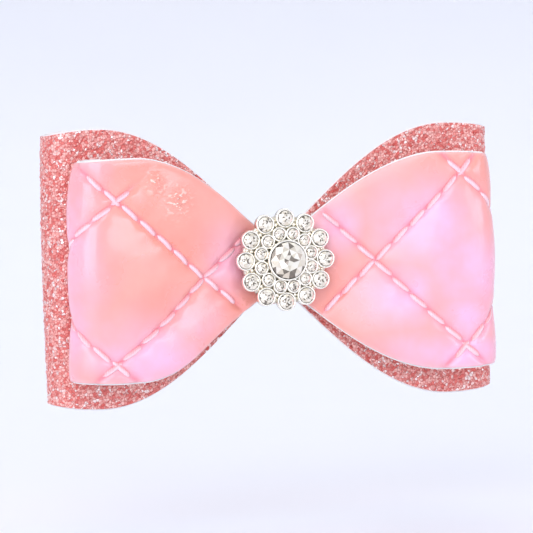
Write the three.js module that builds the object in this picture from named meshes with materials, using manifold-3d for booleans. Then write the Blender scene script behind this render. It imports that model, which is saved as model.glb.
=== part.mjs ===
// Layered loop hair bow on a sprung alligator clip.
// A glitter strip forms the large bow behind, a quilted patent strip forms the
// smaller bow in front, one band pinches both at the waist, a round stone-set
// button covers the band, and a hair clip is glued to the back.
// Units are millimetres. X runs across the bow, Z up, and the bow faces -Y.
import * as THREE from 'three';
import Module from 'manifold-3d';
import { mergeVertices } from 'three/addons/utils/BufferGeometryUtils.js';

const wasm = await Module();
wasm.setup();

// ---------------------------------------------------------------- dimensions
const CLEARANCE = 0.3; // between pieces that lie against each other
const LAMINATE_GAP = 0.15; // between a facing and its own backing

// Each strip is cut narrow at the waist, so height is a function of |x|.
const WAIST_HALF_HEIGHT = 7.4;
const WAIST_FLAT = 4; // half width of the parallel stretch under the band
const SEAM_GAP = 0.5; // the strip's two ends meet at the centre back

// peakAt is where the strip is tallest, and cornerDrop how much lower it is at
// its fold. backRun is how far the back wall stays flat, to lie along the clip.
const GLITTER = {
  halfWidth: 49.6,
  halfHeight: 29.5,
  peakAt: 38.5,
  cornerDrop: 1.2,
  foldRadius: 5.2,
  foldY: 2.9,
  backRun: 30,
  facing: 0.5,
  backing: 0.5,
};
const QUILTED = {
  halfWidth: 45.6,
  halfHeight: 23.3,
  peakAt: 33.5,
  cornerDrop: 0.5,
  foldRadius: 4.9,
  foldY: -9.2,
  backRun: 20,
  facing: 0.4,
  backing: 1.1,
};
const FRONT_RUN = 14; // how gently the front wall leaves the waist and meets the fold
const BACK_BLEND = 9; // the same for the back wall where it meets the fold
const BACKING_REVEAL = 0.35; // white backing shows past the facing's cut edge

// Quilting: diagonal seams that cross at the diamonds' corners. The pattern sits
// a little higher on the right loop than on the left one.
const DIAMOND = { halfWidth: 19, halfHeight: 18.5, centreZ: { left: -1.8, right: 0.3 } };
// Each loop's seams as [column, row, column, row] of their ends, in diamond halves.
const SEAMS = [
  [0.2, -0.8, 2.55, 1.55],
  [0.2, 0.8, 2.55, -1.55],
  [1.5, 1.5, 2.55, 0.45],
  [1.5, -1.5, 2.55, -0.45],
];
// The bars that cut the seams out start this far in front of the waist, so that
// they reach the whole front wall and stop half way round each fold.
const THREAD = {
  width: 0.7,
  thickness: 0.35,
  barStart: 0.8,
  barDepth: 20,
  edgeMargin: 1.5, // from the seams' ends to the loop's cut edges
  buttonMargin: 0.5,
};

const BAND = { halfWidth: 3.5, thickness: 0.6 };
const GLUE_THICKNESS = 0.5;
const BUTTON_GLUE_RADIUS = 4;
const CLIP_GLUE = { halfX: 6, halfZ: 3, corner: 1.5 };

const BUTTON = {
  centreZ: 1, // glued slightly above the bow's middle
  stones: 12,
  outerRing: 8.8,
  innerRing: 5.68,
  plateRadius: 9.2,
  plate: 1.2,
  outer: { cup: 1.95, stone: 1.62, rise: 2.4 },
  inner: { cup: 1.4, stone: 1.14, rise: 3.0 },
  centre: { cup: 4.15, stone: 3.75, rise: 3.5 },
  seatClearance: 0.07,
  seatDepth: 0.55,
  girdleShare: 0.7, // of the seat's depth
  crownShare: 0.38, // of the stone's radius
  tableShare: 0.58, // of the stone's radius
};

const CLIP = {
  sheet: 0.8,
  tipX: -24,
  handleX: 24,
  hingeX: 9,
  fixedHalfWidth: 4.7,
  movingHalfWidth: 3.8,
  tipHalfWidth: 2.9,
  ear: 0.6,
  earRadius: 2.6,
  pinRadius: 0.8,
  pinClearance: 0.08,
  pinHeight: 3.4, // pin centre above the fixed jaw's inner face
  pinHead: 0.7,
  pinHeadRadius: 1.36,
  hairGap: 4.6, // between the jaws where the moving one is arched
  archStart: 11.5, // from the tip to the arched stretch
  handleRise: 10.4,
  teeth: 6,
  toothDepth: 0.5,
  toothSheet: 0.6,
};
const SPRING = {
  wire: 0.35,
  coilRadius: 1.55,
  turns: 3.5,
  halfLength: 1.6,
  leg: 8,
  legShare: 0.15, // of the curve's parameter that each leg takes
  fixedLegFall: 0.95, // how far the leg's end leans towards the fixed handle
  movingLegRise: 2.1,
};

// ---------------------------------------------------------- derived positions
const quiltedPly = QUILTED.facing + LAMINATE_GAP + QUILTED.backing;
const glitterPly = GLITTER.facing + LAMINATE_GAP + GLITTER.backing;
const stackDepth = 2 * quiltedPly + 2 * glitterPly + 3 * CLEARANCE;
const stackFront = -4.2;
const stackBack = stackFront + stackDepth;
QUILTED.waistFront = stackFront;
QUILTED.waistBack = stackFront + 2 * quiltedPly + CLEARANCE;
GLITTER.waistFront = QUILTED.waistBack + CLEARANCE;
GLITTER.waistBack = stackBack;

const bandFront = stackFront - CLEARANCE - BAND.thickness;
const bandBack = stackBack + CLEARANCE + BAND.thickness;
const buttonBack = bandFront - 2 * CLEARANCE - GLUE_THICKNESS;
const fixedFront = bandBack + 2 * CLEARANCE + GLUE_THICKNESS;
const fixedInner = fixedFront + CLIP.sheet;
const pinY = fixedInner + CLIP.pinHeight;

// ------------------------------------------------------------------- helpers
const toSolid = (geometry) => {
  const bare = geometry.clone();
  bare.deleteAttribute('normal');
  bare.deleteAttribute('uv');
  const merged = mergeVertices(bare, 1e-5);
  const mesh = new wasm.Mesh({
    numProp: 3,
    vertProperties: new Float32Array(merged.attributes.position.array),
    triVerts: new Uint32Array(merged.index.array),
  });
  return new wasm.Manifold(mesh);
};

const toGeometry = (solid) => {
  const mesh = solid.getMesh();
  const geometry = new THREE.BufferGeometry();
  geometry.setAttribute('position', new THREE.BufferAttribute(new Float32Array(mesh.vertProperties), 3));
  geometry.setIndex(new THREE.BufferAttribute(new Uint32Array(mesh.triVerts), 1));
  geometry.computeVertexNormals();
  return geometry;
};

const joined = (geometries) => {
  const solids = geometries.map(toSolid);
  return solids.slice(1).reduce((sum, next) => sum.add(next), solids[0]);
};

// Extrudes an outline drawn in X and Y to a given thickness centred on z.
const plateXY = (points, thickness, z = 0) => {
  const shape = new THREE.Shape(points.map(([x, y]) => new THREE.Vector2(x, y)));
  const geometry = new THREE.ExtrudeGeometry(shape, { depth: thickness, bevelEnabled: false });
  return geometry.translate(0, 0, z - thickness / 2);
};

// Extrudes an outline drawn in X and Z along Y, between two y values.
const plateXZ = (shape, yLow, yHigh, curveSegments = 8) => {
  const options = { depth: yHigh - yLow, bevelEnabled: false, curveSegments };
  const geometry = new THREE.ExtrudeGeometry(shape, options);
  return geometry.rotateX(Math.PI / 2).translate(0, yHigh, 0);
};

// A cylinder along Y, between two y values.
const cylinderY = (radius, yLow, yHigh, x, z, sides) => {
  const geometry = new THREE.CylinderGeometry(radius, radius, yHigh - yLow, sides);
  return geometry.translate(x, (yLow + yHigh) / 2, z);
};

// A cylinder along Z, centred on z = 0 unless moved.
const cylinderZ = (radius, length, x, y, z = 0, sides = 24) => {
  const geometry = new THREE.CylinderGeometry(radius, radius, length, sides);
  return geometry.rotateX(Math.PI / 2).translate(x, y, z);
};

const bow = new THREE.Group();

const addPart = (name, geometry, color, roughness, metalness = 0) => {
  const material = new THREE.MeshStandardMaterial({ color, roughness, metalness });
  const mesh = new THREE.Mesh(geometry, material);
  mesh.name = name;
  bow.add(mesh);
};

// -------------------------------------------------------------------- strips
// Half height of a strip at a distance x from the middle.
const stripHalfHeight = (strip, x) => {
  const reach = Math.abs(x);
  if (reach < strip.peakAt) {
    const share = Math.max(0, (reach - WAIST_FLAT) / (strip.peakAt - WAIST_FLAT));
    return WAIST_HALF_HEIGHT + (strip.halfHeight - WAIST_HALF_HEIGHT) * Math.sin((share * Math.PI) / 2);
  }
  const past = (reach - strip.peakAt) / (strip.halfWidth - strip.peakAt);
  return strip.halfHeight - strip.cornerDrop * past * past;
};

// Plan view of a strip's outer face: from the seam at the centre back, out along
// the right back wall, round the right fold, and in along the front wall.
const rightHalfPath = (strip) => {
  const foldX = strip.halfWidth - strip.foldRadius;
  const backY = strip.foldY + strip.foldRadius;
  const frontY = strip.foldY - strip.foldRadius;
  const v = (x, y) => new THREE.Vector2(x, y);
  const seam = new THREE.LineCurve(v(SEAM_GAP / 2, strip.waistBack), v(WAIST_FLAT, strip.waistBack));
  const back = new THREE.CubicBezierCurve(
    v(WAIST_FLAT, strip.waistBack),
    v(strip.backRun, strip.waistBack),
    v(foldX - BACK_BLEND, backY),
    v(foldX, backY),
  );
  const fold = new THREE.EllipseCurve(
    foldX, strip.foldY, strip.foldRadius, strip.foldRadius, Math.PI / 2, -Math.PI / 2, true,
  );
  const front = new THREE.CubicBezierCurve(
    v(foldX, frontY),
    v(foldX - FRONT_RUN, frontY),
    v(FRONT_RUN, strip.waistFront),
    v(WAIST_FLAT, strip.waistFront),
  );
  return [
    ...seam.getPoints(1),
    ...back.getPoints(12).slice(1),
    ...fold.getPoints(10).slice(1),
    ...front.getPoints(12).slice(1),
  ];
};

const stripPath = (strip) => {
  const right = rightHalfPath(strip);
  const left = right.map((p) => new THREE.Vector2(-p.x, p.y)).reverse();
  return [...right, ...left];
};

// One ply of a strip: a band standing on edge that follows the plan path,
// between two depths measured inwards from the strip's outer face.
const plyGeometry = (strip, depthOut, depthIn, trim) => {
  const path = stripPath(strip);
  const positions = [];
  path.forEach((point, i) => {
    const before = path[Math.max(i - 1, 0)];
    const after = path[Math.min(i + 1, path.length - 1)];
    const tangent = after.clone().sub(before).normalize();
    const inwards = new THREE.Vector2(tangent.y, -tangent.x);
    const height = stripHalfHeight(strip, point.x) - trim;
    for (const depth of [depthOut, depthIn]) {
      const place = point.clone().addScaledVector(inwards, depth);
      positions.push(place.x, place.y, -height, place.x, place.y, height);
    }
  });
  const index = [];
  const quad = (a, b, c, d) => index.push(a, b, c, a, c, d);
  const last = 4 * (path.length - 1);
  for (let at = 0; at < last; at += 4) {
    const [outLow, outHigh, inLow, inHigh] = [at, at + 1, at + 2, at + 3];
    quad(outLow, outHigh, outHigh + 4, outLow + 4);
    quad(inLow, inLow + 4, inHigh + 4, inHigh);
    quad(outHigh, inHigh, inHigh + 4, outHigh + 4);
    quad(outLow, outLow + 4, inLow + 4, inLow);
  }
  quad(0, 2, 3, 1);
  quad(last, last + 1, last + 3, last + 2);
  const geometry = new THREE.BufferGeometry();
  geometry.setAttribute('position', new THREE.Float32BufferAttribute(positions, 3));
  geometry.setIndex(index);
  geometry.computeVertexNormals();
  return geometry;
};

const addStrip = (name, strip, facingColor, facingRoughness) => {
  const backingOut = strip.facing + LAMINATE_GAP;
  const facing = plyGeometry(strip, 0, strip.facing, BACKING_REVEAL);
  const backing = plyGeometry(strip, backingOut, backingOut + strip.backing, 0);
  addPart(`${name}_facing`, facing, facingColor, facingRoughness);
  addPart(`${name}_backing`, backing, 0xf4efe9, 0.9);
};

// ------------------------------------------------------------ quilting thread
// The seams run over the front of each loop as one crossing lattice of thread
// that lies just proud of the quilted facing.
const seamBar = (from, to) => {
  const length = from.distanceTo(to);
  const middle = from.clone().add(to).multiplyScalar(0.5);
  const bar = new THREE.BoxGeometry(length, THREAD.barDepth, THREAD.width);
  bar.rotateY(-Math.atan2(to.y - from.y, to.x - from.x));
  return bar.translate(middle.x, stackFront - THREAD.barStart - THREAD.barDepth / 2, middle.y);
};

const threadGeometry = (side) => {
  const { halfWidth, halfHeight } = DIAMOND;
  const centreZ = side < 0 ? DIAMOND.centreZ.left : DIAMOND.centreZ.right;
  const at = (column, row) => new THREE.Vector2(side * column * halfWidth, centreZ + row * halfHeight);
  const bars = SEAMS.map((seam) => seamBar(at(seam[0], seam[1]), at(seam[2], seam[3])));
  const shell = plyGeometry(QUILTED, -CLEARANCE - THREAD.thickness, -CLEARANCE, THREAD.edgeMargin);
  const buttonReach = BUTTON.outerRing + BUTTON.outer.cup + THREAD.buttonMargin;
  const frontmost = stackFront - THREAD.barDepth;
  const clearOfButton = cylinderY(buttonReach, frontmost, stackBack, 0, BUTTON.centreZ, 32);
  return toGeometry(joined(bars).intersect(toSolid(shell)).subtract(toSolid(clearOfButton)));
};

// --------------------------------------------------------- band, glue, button
const roundedRectangle = (halfX, halfY, radius) => {
  const shape = new THREE.Shape();
  shape.moveTo(-halfX + radius, -halfY);
  shape.lineTo(halfX - radius, -halfY);
  shape.absarc(halfX - radius, -halfY + radius, radius, -Math.PI / 2, 0);
  shape.lineTo(halfX, halfY - radius);
  shape.absarc(halfX - radius, halfY - radius, radius, 0, Math.PI / 2);
  shape.lineTo(-halfX + radius, halfY);
  shape.absarc(-halfX + radius, halfY - radius, radius, Math.PI / 2, Math.PI);
  shape.lineTo(-halfX, -halfY + radius);
  shape.absarc(-halfX + radius, -halfY + radius, radius, Math.PI, 1.5 * Math.PI);
  return shape;
};

const bandGeometry = () => {
  const innerHalfDepth = stackDepth / 2 + CLEARANCE;
  const innerHalfHeight = WAIST_HALF_HEIGHT + CLEARANCE;
  const outline = roundedRectangle(innerHalfDepth + BAND.thickness, innerHalfHeight + BAND.thickness, 0.8);
  outline.holes.push(roundedRectangle(innerHalfDepth, innerHalfHeight, 0.2));
  const width = 2 * BAND.halfWidth;
  const ring = new THREE.ExtrudeGeometry(outline, { depth: width, bevelEnabled: false, curveSegments: 4 });
  // The outline is drawn in depth and height, so turn its X to Y and Y to Z.
  ring.applyMatrix4(new THREE.Matrix4().set(0, 0, 1, 0, 1, 0, 0, 0, 0, 1, 0, 0, 0, 0, 0, 1));
  return ring.translate(-BAND.halfWidth, (stackFront + stackBack) / 2, 0);
};

const onRing = (radius, count, offset) =>
  Array.from({ length: count }, (_, i) => {
    const angle = ((i + offset) / count) * 2 * Math.PI;
    return [radius * Math.sin(angle), BUTTON.centreZ + radius * Math.cos(angle)];
  });

const hub = [0, BUTTON.centreZ];
const outerPlaces = onRing(BUTTON.outerRing, BUTTON.stones, 0);
const innerPlaces = onRing(BUTTON.innerRing, BUTTON.stones, 0.5);

const settingGeometry = () => {
  const { outer, inner, centre, seatClearance, seatDepth } = BUTTON;
  const cup = (kind, [x, z], sides) => cylinderY(kind.cup, buttonBack - kind.rise, buttonBack, x, z, sides);
  const seat = (kind, [x, z], sides) => {
    const front = buttonBack - kind.rise;
    return cylinderY(kind.stone + seatClearance, front - 1, front + seatDepth, x, z, sides);
  };
  const plate = cylinderY(BUTTON.plateRadius, buttonBack - BUTTON.plate, buttonBack, ...hub, 48);
  const body = joined([
    plate,
    cup(centre, hub, 32),
    ...outerPlaces.map((place) => cup(outer, place, 14)),
    ...innerPlaces.map((place) => cup(inner, place, 12)),
  ]);
  const seats = joined([
    seat(centre, hub, 32),
    ...outerPlaces.map((place) => seat(outer, place, 14)),
    ...innerPlaces.map((place) => seat(inner, place, 12)),
  ]);
  return toGeometry(body.subtract(seats));
};

// A faceted stone: flat table in front, sloping crown, thin girdle, flat foiled back.
const stoneGeometry = (kind, [x, z], sides) => {
  const radius = kind.stone * Math.cos(Math.PI / sides);
  const back = -CLEARANCE / 2;
  const girdle = back - BUTTON.seatDepth * BUTTON.girdleShare;
  const table = girdle - BUTTON.crownShare * radius;
  const profile = [
    [0, back],
    [radius, back],
    [radius, girdle],
    [BUTTON.tableShare * radius, table],
    [0, table],
  ];
  const points = profile.map(([r, y]) => new THREE.Vector2(r, y)).reverse();
  const geometry = new THREE.LatheGeometry(points, sides);
  const seatFloor = buttonBack - kind.rise + BUTTON.seatDepth;
  return geometry.translate(x, seatFloor, z);
};

const addButton = () => {
  addPart('button_setting', settingGeometry(), 0xd9d4cc, 0.3, 0.9);
  addPart('centre_stone', stoneGeometry(BUTTON.centre, hub, 16), 0xeef2f4, 0.05, 0.2);
  const label = (i) => String(i + 1).padStart(2, '0');
  outerPlaces.forEach((place, i) => {
    addPart(`outer_stone_${label(i)}`, stoneGeometry(BUTTON.outer, place, 8), 0xeef2f4, 0.05, 0.2);
  });
  innerPlaces.forEach((place, i) => {
    addPart(`inner_stone_${label(i)}`, stoneGeometry(BUTTON.inner, place, 8), 0xeef2f4, 0.05, 0.2);
  });
};

// ---------------------------------------------------------------------- clip
// Plan outline of a jaw, wide at the hinge and handle and narrower at the tip.
const jawOutline = (halfWidth) => {
  const { tipX, handleX, hingeX, tipHalfWidth } = CLIP;
  const shape = new THREE.Shape();
  const taperX = hingeX - 6;
  shape.moveTo(taperX, -halfWidth);
  shape.lineTo(handleX - halfWidth, -halfWidth);
  shape.absarc(handleX - halfWidth, 0, halfWidth, -Math.PI / 2, Math.PI / 2);
  shape.lineTo(taperX, halfWidth);
  shape.lineTo(tipX + tipHalfWidth, tipHalfWidth);
  shape.absarc(tipX + tipHalfWidth, 0, tipHalfWidth, Math.PI / 2, 1.5 * Math.PI);
  return shape;
};

// An ear bent up from a jaw's edge, with its round end about the pin.
const earPlate = (rootY, z) => {
  const { hingeX, earRadius, ear } = CLIP;
  const root = plateXY(
    [
      [hingeX - earRadius, rootY],
      [hingeX + earRadius, rootY],
      [hingeX + earRadius, pinY],
      [hingeX - earRadius, pinY],
    ],
    ear,
    z,
  );
  return [root, cylinderZ(earRadius, ear, hingeX, pinY, z)];
};

const pinBore = () => toSolid(cylinderZ(CLIP.pinRadius + CLIP.pinClearance, 20, CLIP.hingeX, pinY));

const fixedJawGeometry = () => {
  const earZ = CLIP.fixedHalfWidth - CLIP.ear / 2;
  const rootY = fixedFront + CLIP.sheet / 2;
  const plate = plateXZ(jawOutline(CLIP.fixedHalfWidth), fixedFront, fixedInner);
  const body = joined([plate, ...earPlate(rootY, earZ), ...earPlate(rootY, -earZ)]);
  return toGeometry(body.subtract(pinBore()));
};

// Inner face of the moving jaw in side view, from the tip to the handle's end.
const movingInner = () => {
  const { tipX, handleX, hingeX, hairGap, archStart, handleRise, earRadius } = CLIP;
  return [
    [tipX - 1, fixedInner + CLEARANCE],
    [tipX + 2.5, fixedInner + CLEARANCE],
    [tipX + archStart, fixedInner + hairGap],
    [hingeX - earRadius - 3, fixedInner + hairGap],
    [hingeX - 1, pinY + earRadius + 0.4],
    [hingeX + 3, pinY + earRadius + 0.4],
    [handleX - 3, fixedInner + handleRise],
    [handleX + 1, fixedInner + handleRise + 0.3],
  ];
};

const toothRow = (z) => {
  const [, from, to] = movingInner();
  const pitch = (to[0] - from[0]) / CLIP.teeth;
  const points = [];
  for (let i = 0; i <= CLIP.teeth; i += 1) {
    const x = from[0] + i * pitch;
    points.push([x, fixedInner + CLEARANCE]);
    if (i < CLIP.teeth) points.push([x + pitch / 2, fixedInner + CLEARANCE + CLIP.toothDepth]);
  }
  const top = CLIP.sheet / 2;
  return plateXY([...points, [to[0], to[1] + top], [from[0], from[1] + top]], CLIP.toothSheet, z);
};

const movingJawGeometry = () => {
  const inner = movingInner();
  const outer = inner.map(([x, y]) => [x, y + CLIP.sheet]).reverse();
  const bent = toSolid(plateXY([...inner, ...outer], 2 * CLIP.fixedHalfWidth));
  const reachY = fixedInner + 2 * CLIP.handleRise;
  const plan = toSolid(plateXZ(jawOutline(CLIP.movingHalfWidth), fixedFront, reachY));
  const earZ = CLIP.movingHalfWidth - CLIP.ear / 2;
  const rootY = pinY + CLIP.earRadius + 0.8;
  const ears = joined([...earPlate(rootY, earZ), ...earPlate(rootY, -earZ)]);
  const toothZ = CLIP.tipHalfWidth - 0.6;
  const teeth = joined([toothRow(toothZ), toothRow(-toothZ)]);
  return toGeometry(bent.intersect(plan).add(ears).add(teeth).subtract(pinBore()));
};

const pinGeometry = () => {
  const { pinRadius, pinHead, pinHeadRadius, fixedHalfWidth, hingeX } = CLIP;
  const headZ = fixedHalfWidth + CLEARANCE + pinHead / 2;
  const solid = joined([
    cylinderZ(pinRadius, 2 * headZ, hingeX, pinY),
    cylinderZ(pinHeadRadius, pinHead, hingeX, pinY, headZ),
    cylinderZ(pinHeadRadius, pinHead, hingeX, pinY, -headZ),
  ]);
  return toGeometry(solid);
};

class SpringCurve extends THREE.Curve {
  // Leg along the fixed handle, coil round the pin, leg along the moving handle.
  getPoint(t, target = new THREE.Vector3()) {
    const { coilRadius, turns, halfLength, leg, legShare, fixedLegFall, movingLegRise } = SPRING;
    if (t < legShare) {
      const out = 1 - t / legShare;
      return target.set(CLIP.hingeX + leg * out, pinY - coilRadius - fixedLegFall * out, -halfLength);
    }
    if (t > 1 - legShare) {
      const out = (t - 1 + legShare) / legShare;
      return target.set(CLIP.hingeX + leg * out, pinY + coilRadius + movingLegRise * out, halfLength);
    }
    const share = (t - legShare) / (1 - 2 * legShare);
    const angle = -Math.PI / 2 - share * turns * 2 * Math.PI;
    const x = CLIP.hingeX + coilRadius * Math.cos(angle);
    return target.set(x, pinY + coilRadius * Math.sin(angle), halfLength * (2 * share - 1));
  }
}

const springGeometry = () => {
  const section = new THREE.Shape();
  section.absarc(0, 0, SPRING.wire, 0, 2 * Math.PI);
  const options = { steps: 90, curveSegments: 4, bevelEnabled: false, extrudePath: new SpringCurve() };
  return new THREE.ExtrudeGeometry(section, options);
};

const addClip = () => {
  addPart('clip_fixed_jaw', fixedJawGeometry(), 0xb9bcc0, 0.3, 0.9);
  addPart('clip_moving_jaw', movingJawGeometry(), 0xb9bcc0, 0.3, 0.9);
  addPart('clip_pin', pinGeometry(), 0xa8abaf, 0.35, 0.9);
  addPart('clip_spring', springGeometry(), 0x9a9da1, 0.35, 0.9);
};

// ------------------------------------------------------------------ assembly
addStrip('glitter', GLITTER, 0xe87f7d, 0.6);
addStrip('quilted', QUILTED, 0xf7a49e, 0.15);
addPart('quilting_thread_left', threadGeometry(-1), 0xf28e88, 0.7);
addPart('quilting_thread_right', threadGeometry(1), 0xf28e88, 0.7);
addPart('centre_band', bandGeometry(), 0xe87f7d, 0.6);
const glueStart = buttonBack + CLEARANCE;
const buttonGlue = cylinderY(BUTTON_GLUE_RADIUS, glueStart, glueStart + GLUE_THICKNESS, ...hub, 24);
addPart('button_glue', buttonGlue, 0xe9e4d6, 0.4);
addButton();
const glueFront = fixedFront - CLEARANCE - GLUE_THICKNESS;
const clipGlueOutline = roundedRectangle(CLIP_GLUE.halfX, CLIP_GLUE.halfZ, CLIP_GLUE.corner);
const clipGlue = plateXZ(clipGlueOutline, glueFront, fixedFront - CLEARANCE, 3);
addPart('clip_glue', clipGlue, 0xe9e4d6, 0.4);
addClip();

// The origin is where the hair is gripped: on the bow's middle plane, halfway
// between the clip's two jaws.
bow.position.y = -(fixedInner + CLIP.hairGap / 2);
const group = new THREE.Group();
group.add(bow);

export default group;
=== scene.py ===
"""Looks of the layered hair bow: every visible piece, its material, the light and the camera."""
import math

import bmesh
import bpy
import numpy as np
from mathutils import Matrix, Vector


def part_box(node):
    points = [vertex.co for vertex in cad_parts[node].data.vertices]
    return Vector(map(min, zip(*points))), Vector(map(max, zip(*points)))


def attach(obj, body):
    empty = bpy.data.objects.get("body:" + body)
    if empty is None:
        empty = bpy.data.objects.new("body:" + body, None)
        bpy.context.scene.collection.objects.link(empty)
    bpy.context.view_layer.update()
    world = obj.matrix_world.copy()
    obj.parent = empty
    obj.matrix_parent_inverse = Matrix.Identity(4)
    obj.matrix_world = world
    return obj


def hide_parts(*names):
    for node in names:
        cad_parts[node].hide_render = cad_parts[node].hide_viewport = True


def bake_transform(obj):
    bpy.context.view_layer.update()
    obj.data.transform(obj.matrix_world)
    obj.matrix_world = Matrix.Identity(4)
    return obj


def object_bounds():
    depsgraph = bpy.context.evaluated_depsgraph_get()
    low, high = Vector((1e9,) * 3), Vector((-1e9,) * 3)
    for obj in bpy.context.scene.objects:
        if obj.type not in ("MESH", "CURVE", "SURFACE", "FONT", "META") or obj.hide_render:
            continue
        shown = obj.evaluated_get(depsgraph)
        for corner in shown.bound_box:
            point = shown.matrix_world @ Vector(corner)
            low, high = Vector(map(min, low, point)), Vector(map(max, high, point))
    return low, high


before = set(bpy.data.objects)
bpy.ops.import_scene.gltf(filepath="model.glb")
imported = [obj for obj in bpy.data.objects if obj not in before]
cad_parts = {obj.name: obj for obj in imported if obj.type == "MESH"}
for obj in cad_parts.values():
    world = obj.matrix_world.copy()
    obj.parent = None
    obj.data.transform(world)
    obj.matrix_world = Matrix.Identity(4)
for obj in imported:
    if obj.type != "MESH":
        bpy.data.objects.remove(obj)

cad_low, cad_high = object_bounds()

MM = 0.001
CLEARANCE = 0.3 * MM
random = np.random.default_rng(11)


# ---------------- places from the frame
band_low, band_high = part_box("centre_band")
BAND_THICKNESS = 0.6 * MM
stack_front = band_low.y + BAND_THICKNESS + CLEARANCE
stack_back = band_high.y - BAND_THICKNESS - CLEARANCE
waist_half_height = band_high.z - BAND_THICKNESS - CLEARANCE

# Each facing's thickness, and the whole wall's with its lining and the CAD's thin gap between the two.
GLITTER_FACING = 0.5 * MM
GLITTER_WALL = 1.15 * MM
QUILTED_FACING = 0.4 * MM
QUILTED_WALL = 1.65 * MM
quilted_back_wall = stack_front + 2 * QUILTED_WALL + CLEARANCE
glitter_front_wall = quilted_back_wall + CLEARANCE

WAIST_FLAT = 4 * MM  # half width of the stretch that the band holds parallel
FREE_FROM = 13 * MM  # beyond this, nothing of the band's hold is left
END_EASE = 10 * MM  # the same for the strip's ends, where they meet behind
FRONT_RUN = 14 * MM  # how gently the front wall leaves the waist and meets the fold
BACK_BLEND = 9 * MM  # the same for the back wall where it meets the fold
SEAM_GAP = 0.5 * MM  # between the strip's two ends at the centre back
BACKING_REVEAL = 0.3 * MM  # white backing that shows past the facing's cut edge
BACK_NARROWER = 2.2 * MM  # how much less tall each loop is behind than in front, per edge
BACK_TAPER = 10 * MM  # the length over which that change is made, past the fold
PLY_GAP = 0.03 * MM  # between a facing and its lining


def smooth_step(low, high, value):
    share = np.clip((value - low) / (high - low), 0, 1)
    return share * share * (3 - 2 * share)


# ---------------- mesh helpers
def mesh_object(name, vertices, faces, material, smooth=True):
    mesh = bpy.data.meshes.new(name)
    mesh.from_pydata(np.asarray(vertices).tolist(), [], faces)
    mesh.polygons.foreach_set("use_smooth", [smooth] * len(mesh.polygons))
    mesh.materials.append(material)
    mesh.update()
    made = bpy.data.objects.new(name, mesh)
    bpy.context.scene.collection.objects.link(made)
    return made


def new_piece(name, vertices, faces, material, smooth=True):
    """A mesh object that rides on the bow."""
    piece = mesh_object(name, vertices, faces, material, smooth)
    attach(piece, "bow")
    return piece


def add_point_values(piece, name, values):
    attribute = piece.data.attributes.new(name, "FLOAT", "POINT")
    attribute.data.foreach_set("value", np.asarray(values, np.float32).ravel())


def shell_faces(rows, columns):
    """Quads of a closed shell: an outer grid and an inner one of the same size, joined round their edge."""
    index = np.arange(rows * columns).reshape(rows, columns)
    inner = index + rows * columns

    def quads(a, b, c, d):
        return np.stack([a.ravel(), b.ravel(), c.ravel(), d.ravel()], 1).tolist()

    faces = quads(index[:-1, :-1], index[1:, :-1], index[1:, 1:], index[:-1, 1:])
    faces += quads(inner[:-1, :-1], inner[:-1, 1:], inner[1:, 1:], inner[1:, :-1])
    rim = np.concatenate([index[:-1, 0], index[-1, :-1], index[:0:-1, -1], index[0, :0:-1]])
    after = np.roll(rim, -1)
    size = rows * columns
    faces += quads(rim, rim + size, after + size, after)
    return faces


def shell_points(outer, inner):
    return np.concatenate([outer.reshape(-1, 3), inner.reshape(-1, 3)])


class Gathered:
    """Collects closed shapes into one mesh."""

    def __init__(self):
        self.points, self.faces, self.values = [], [], []
        self.size = 0

    def add(self, points, faces, values=None):
        self.faces += [tuple(i + self.size for i in face) for face in faces]
        self.points.append(points)
        self.size += len(points)
        if values is not None:
            self.values += list(values)

    def piece(self, name, material):
        return new_piece(name, np.concatenate(self.points), self.faces, material)


# ---------------- the folded strips
FOLD_STEPS = 80
CURVE_STEPS = 160
PINCH_AT = 14 * MM  # along the strip from the waist
PINCH_REACH = 9 * MM
TUCK_POWER = 2.2
TUCK_FROM = 0.55  # share of the half width


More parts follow.
